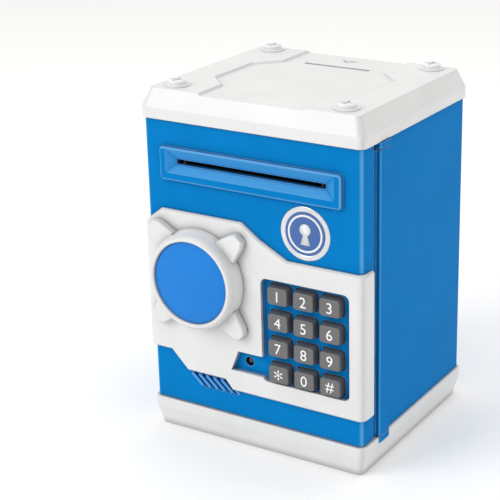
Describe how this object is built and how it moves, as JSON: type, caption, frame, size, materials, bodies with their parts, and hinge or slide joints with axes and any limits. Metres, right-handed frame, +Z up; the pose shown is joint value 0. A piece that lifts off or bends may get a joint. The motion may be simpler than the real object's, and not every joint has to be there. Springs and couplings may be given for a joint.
{
  "type": "toy electronic safe money bank",
  "caption": "Box-shaped toy safe for coins and notes: lid with coin slot, hinged front door with number keypad, turning handle and powered note slot.",
  "frame": {"origin": "centre of the underside, on the surface the bank stands on", "axes": "+X to the viewer's right when facing the door, the door faces -Y, +Z up"},
  "size_m": [0.132, 0.1278, 0.1932],
  "materials": {
    "blue_plastic": "glossy moulded",
    "deep_blue_plastic": "glossy moulded",
    "white_plastic": "glossy moulded",
    "inner_plastic": "fine texture",
    "key_plastic": "satin",
    "black_plastic": "matte",
    "steel": "plated",
    "silver": "bright plated",
    "brass": "plain",
    "gear_plastic": "satin",
    "rubber_dark": "matte",
    "rubber_grey": "matte",
    "board": "solder mask",
    "cell_jacket": "printed sleeve",
    "lamp": "tinted clear",
    "paper_cone": "matte",
    "sticker": "gloss label",
    "lead_jacket": "smooth"
  },
  "bodies": {
    "cabinet": {"base_tray": "white_plastic", "base_plate": "white_plastic", "base_plate_screws": "steel", "battery_cells": "cell_jacket", "battery_contacts": "steel", "cabinet_shell": "blue_plastic", "chamber_floor": "inner_plastic", "base_screws": "steel", "strike_plate": "steel", "hinge_pin": "steel", "hinge_bush": "brass", "supply_lead": "lead_jacket", "lid": "white_plastic", "lid_bolts": "silver", "lid_screws": "steel"},
    "battery_cover": {"battery_cover": "white_plastic", "battery_cover_screw": "steel"},
    "door": {"door_shell": "blue_plastic", "fascia": "white_plastic", "emblem_badge": "sticker", "keypad_mat": "rubber_grey", "circuit_board": "board", "board_parts": "black_plastic", "board_screws": "steel", "status_light": "lamp", "speaker": "black_plastic", "speaker_cone": "paper_cone", "door_liner": "inner_plastic", "liner_screws": "steel", "door_lead": "lead_jacket", "feed_chassis": "black_plastic", "feed_motor": "steel", "note_sensor": "black_plastic", "lock_solenoid": "steel"},
    "motor_rotor": {"motor_pinion": "gear_plastic"},
    "idler": {"idler_gear": "gear_plastic"},
    "feed_roller": {"roller_gear": "gear_plastic", "feed_shaft": "steel", "feed_tyres": "rubber_dark"},
    "pinch_roller": {"pinch_shaft": "steel", "pinch_tyres": "rubber_dark"},
    "dial": {"dial_ring": "white_plastic", "dial_cap": "deep_blue_plastic", "dial_shaft": "white_plastic", "lock_disc": "gear_plastic", "latch_tongue": "steel", "tongue_screw": "steel"},
    "lock_plunger": {"lock_plunger": "steel"},
    "key_1": {"key_1": "key_plastic"},
    "key_2": {"key_2": "key_plastic"},
    "key_3": {"key_3": "key_plastic"},
    "key_4": {"key_4": "key_plastic"},
    "key_5": {"key_5": "key_plastic"},
    "key_6": {"key_6": "key_plastic"},
    "key_7": {"key_7": "key_plastic"},
    "key_8": {"key_8": "key_plastic"},
    "key_9": {"key_9": "key_plastic"},
    "key_star": {"key_star": "key_plastic"},
    "key_0": {"key_0": "key_plastic"},
    "key_hash": {"key_hash": "key_plastic"}
  },
  "joints": [
    {"name": "door_swing", "type": "hinge", "parent": "cabinet", "child": "door", "pos_m": [0.0604, -0.0365, 0.09], "axis": [0, 0, 1], "range_deg": [0, 110]},
    {"name": "battery_cover_lift", "type": "slide", "parent": "cabinet", "child": "battery_cover", "axis": [0, 0, -1], "range_m": [0, 0.012]},
    {"name": "key_1_press", "type": "slide", "parent": "door", "child": "key_1", "axis": [0, 1, 0], "range_m": [0, 0.0012], "stiffness_N_per_m": 400, "springref_m": -0.0015},
    {"name": "key_2_press", "type": "slide", "parent": "door", "child": "key_2", "axis": [0, 1, 0], "range_m": [0, 0.0012], "stiffness_N_per_m": 400, "springref_m": -0.0015},
    {"name": "key_3_press", "type": "slide", "parent": "door", "child": "key_3", "axis": [0, 1, 0], "range_m": [0, 0.0012], "stiffness_N_per_m": 400, "springref_m": -0.0015},
    {"name": "key_4_press", "type": "slide", "parent": "door", "child": "key_4", "axis": [0, 1, 0], "range_m": [0, 0.0012], "stiffness_N_per_m": 400, "springref_m": -0.0015},
    {"name": "key_5_press", "type": "slide", "parent": "door", "child": "key_5", "axis": [0, 1, 0], "range_m": [0, 0.0012], "stiffness_N_per_m": 400, "springref_m": -0.0015},
    {"name": "key_6_press", "type": "slide", "parent": "door", "child": "key_6", "axis": [0, 1, 0], "range_m": [0, 0.0012], "stiffness_N_per_m": 400, "springref_m": -0.0015},
    {"name": "key_7_press", "type": "slide", "parent": "door", "child": "key_7", "axis": [0, 1, 0], "range_m": [0, 0.0012], "stiffness_N_per_m": 400, "springref_m": -0.0015},
    {"name": "key_8_press", "type": "slide", "parent": "door", "child": "key_8", "axis": [0, 1, 0], "range_m": [0, 0.0012], "stiffness_N_per_m": 400, "springref_m": -0.0015},
    {"name": "key_9_press", "type": "slide", "parent": "door", "child": "key_9", "axis": [0, 1, 0], "range_m": [0, 0.0012], "stiffness_N_per_m": 400, "springref_m": -0.0015},
    {"name": "key_star_press", "type": "slide", "parent": "door", "child": "key_star", "axis": [0, 1, 0], "range_m": [0, 0.0012], "stiffness_N_per_m": 400, "springref_m": -0.0015},
    {"name": "key_0_press", "type": "slide", "parent": "door", "child": "key_0", "axis": [0, 1, 0], "range_m": [0, 0.0012], "stiffness_N_per_m": 400, "springref_m": -0.0015},
    {"name": "key_hash_press", "type": "slide", "parent": "door", "child": "key_hash", "axis": [0, 1, 0], "range_m": [0, 0.0012], "stiffness_N_per_m": 400, "springref_m": -0.0015},
    {"name": "dial_turn", "type": "hinge", "parent": "door", "child": "dial", "pos_m": [-0.0308, -0.057, 0.0927], "axis": [0, -1, 0], "range_deg": [0, 90]},
    {"name": "lock_plunger_slide", "type": "slide", "parent": "door", "child": "lock_plunger", "axis": [0, 0, -1], "range_m": [-0.0025, 0]},
    {"name": "feed_roller_spin", "type": "hinge", "parent": "door", "child": "feed_roller", "pos_m": [0, -0.04, 0.1469], "axis": [1, 0, 0], "continuous": true},
    {"name": "idler_spin", "type": "hinge", "parent": "door", "child": "idler", "pos_m": [0.043, -0.0349, 0.13807], "axis": [1, 0, 0], "continuous": true},
    {"name": "motor_spin", "type": "hinge", "parent": "door", "child": "motor_rotor", "pos_m": [0.03, -0.0451, 0.13807], "axis": [1, 0, 0], "continuous": true},
    {"name": "pinch_spin", "type": "hinge", "parent": "door", "child": "pinch_roller", "pos_m": [0, -0.04, 0.158], "axis": [1, 0, 0], "continuous": true}
  ],
  "couplings": [
    {"joint": "idler_spin", "follows": "feed_roller_spin", "ratio": -2.4},
    {"joint": "motor_spin", "follows": "feed_roller_spin", "ratio": 5.76},
    {"joint": "pinch_spin", "follows": "feed_roller_spin", "ratio": -1.3333}
  ]
}
